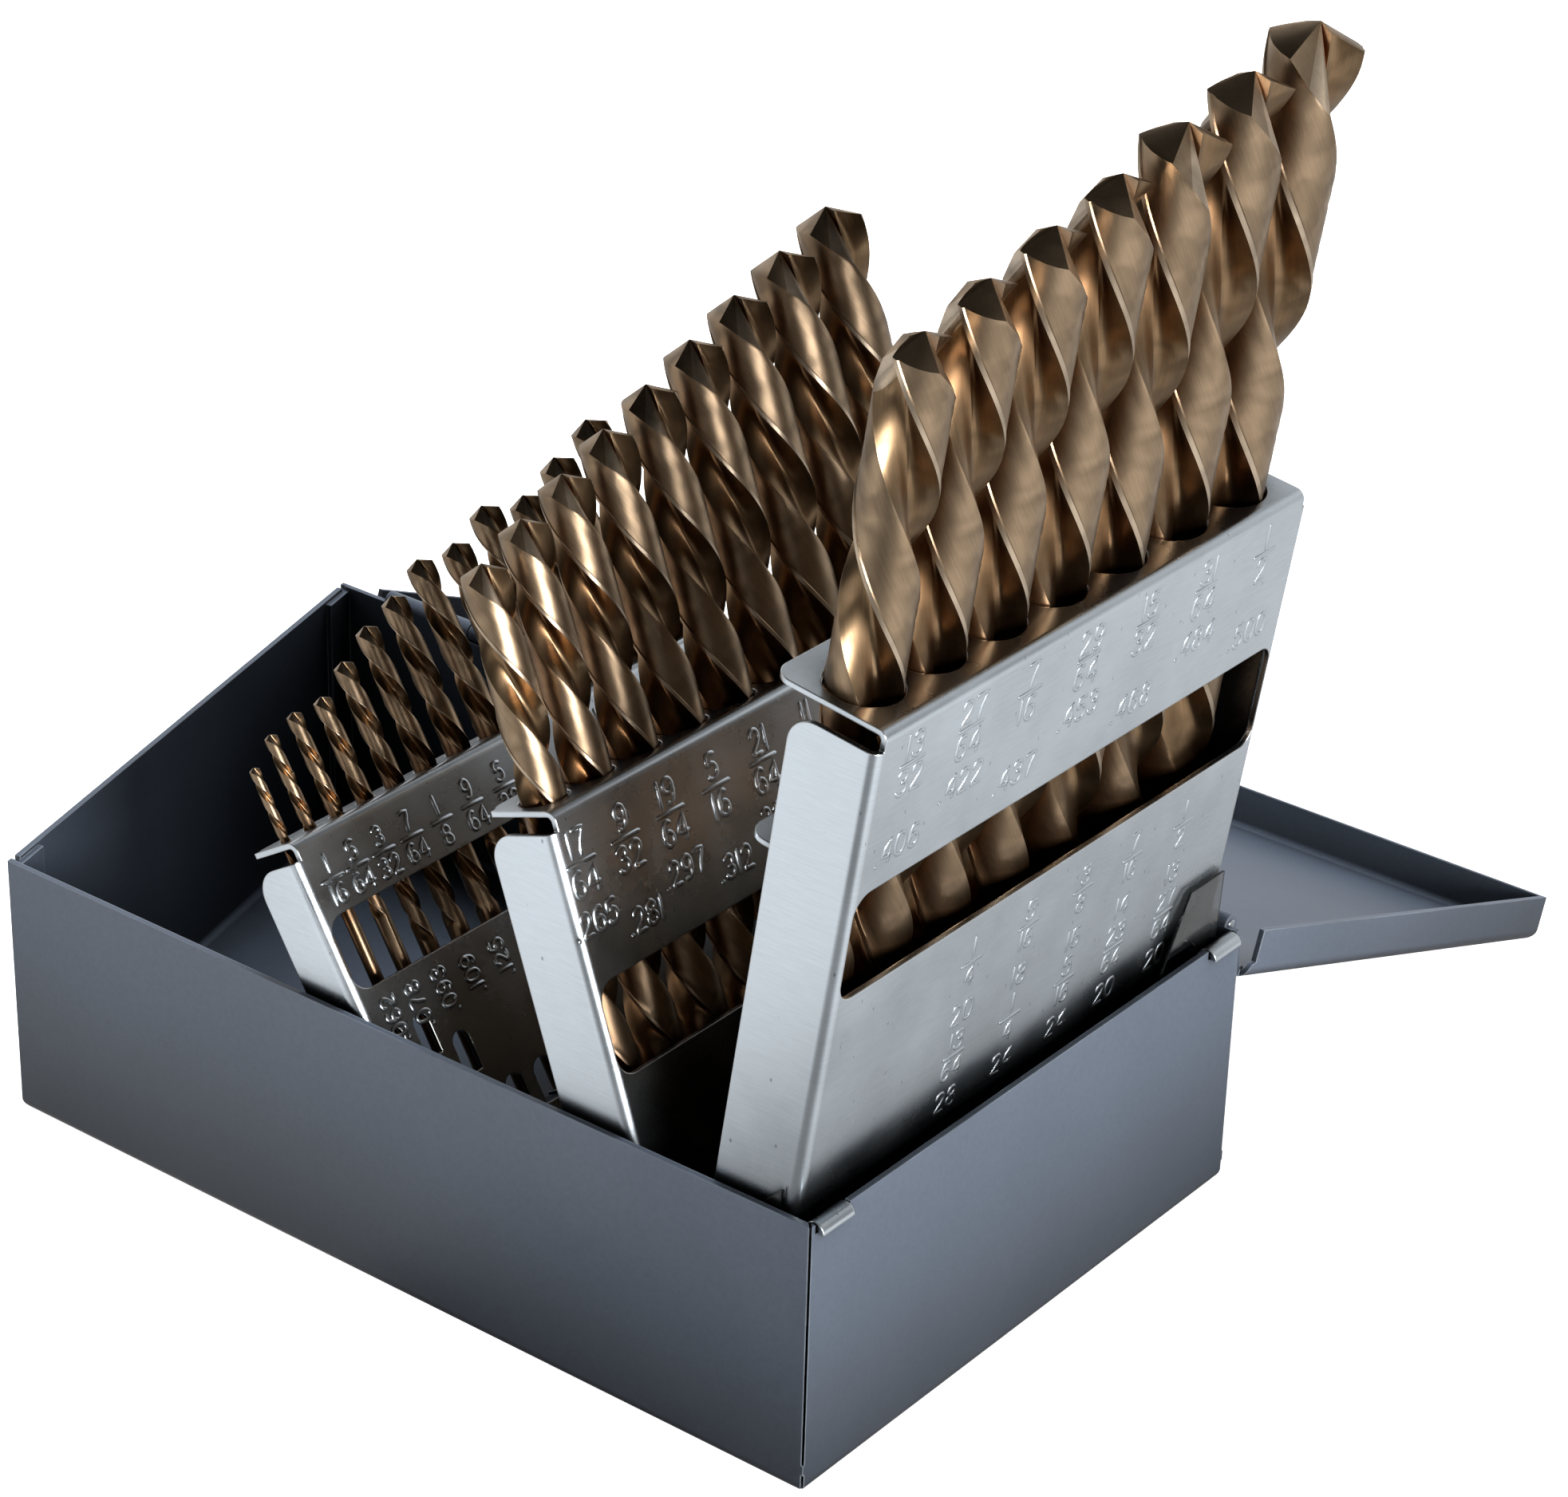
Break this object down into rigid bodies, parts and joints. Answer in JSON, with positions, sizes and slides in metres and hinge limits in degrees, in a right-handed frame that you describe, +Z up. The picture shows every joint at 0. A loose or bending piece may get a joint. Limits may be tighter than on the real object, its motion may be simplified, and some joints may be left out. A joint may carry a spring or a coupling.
{
  "type": "drill bit case",
  "caption": "Folded sheet metal drill bit case with a slanted end, hinged lid and three plated stands that fold up in steps, filled with twist drills.",
  "frame": {"origin": "middle of the case's flat base, half way along its back wall's length", "axes": "+Z up, +X along the case towards the large stand, +Y towards the lid's hinge"},
  "size_m": [0.1897, 0.1989, 0.1851],
  "materials": {
    "paint": "satin grey paint",
    "zinc_plate": "zinc plated sheet",
    "bronze_steel": "bronze oxide on ground steel",
    "clear_plastic": "clear"
  },
  "bodies": {
    "case": {"case_body": "paint", "step_bracket": "zinc_plate", "lid_hinge_pin": "zinc_plate", "hinge_pin_large": "zinc_plate", "hinge_pin_medium": "zinc_plate", "hinge_pin_small": "zinc_plate", "clear_slip_front": "clear_plastic", "clear_slip_rear": "clear_plastic"},
    "lid": {"lid": "paint"},
    "large_stand": {"stand_large": "zinc_plate", "drill_13_32": "bronze_steel", "drill_27_64": "bronze_steel", "drill_7_16": "bronze_steel", "drill_29_64": "bronze_steel", "drill_15_32": "bronze_steel", "drill_31_64": "bronze_steel", "drill_1_2": "bronze_steel"},
    "medium_stand": {"stand_medium": "zinc_plate", "drill_17_64": "bronze_steel", "drill_9_32": "bronze_steel", "drill_19_64": "bronze_steel", "drill_5_16": "bronze_steel", "drill_21_64": "bronze_steel", "drill_11_32": "bronze_steel", "drill_23_64": "bronze_steel", "drill_3_8": "bronze_steel", "drill_25_64": "bronze_steel"},
    "small_stand": {"stand_small": "zinc_plate", "drill_1_16": "bronze_steel", "drill_5_64": "bronze_steel", "drill_3_32": "bronze_steel", "drill_7_64": "bronze_steel", "drill_1_8": "bronze_steel", "drill_9_64": "bronze_steel", "drill_5_32": "bronze_steel", "drill_11_64": "bronze_steel", "drill_3_16": "bronze_steel", "drill_13_64": "bronze_steel", "drill_7_32": "bronze_steel", "drill_15_64": "bronze_steel", "drill_1_4": "bronze_steel"}
  },
  "joints": [
    {"name": "lid_hinge", "type": "hinge", "parent": "case", "child": "lid", "pos_m": [0, 0.0517, 0.0427], "axis": [1, 0, 0], "range_deg": [0, 110.2]},
    {"name": "fold_large", "type": "hinge", "parent": "case", "child": "large_stand", "pos_m": [0.0728, 0, 0.0328], "axis": [0, -1, 0], "range_deg": [0, 98.2]},
    {"name": "fold_medium", "type": "hinge", "parent": "case", "child": "medium_stand", "pos_m": [0.0552, 0, 0.013], "axis": [0, -1, 0], "range_deg": [0, 70.8]},
    {"name": "fold_small", "type": "hinge", "parent": "case", "child": "small_stand", "pos_m": [0.0218, 0, 0.0026], "axis": [0, -1, 0], "range_deg": [0, 58.5]}
  ],
  "couplings": [
    {"joint": "fold_medium", "follows": "fold_large", "ratio": 0.72097},
    {"joint": "fold_small", "follows": "fold_large", "ratio": 0.59572}
  ]
}
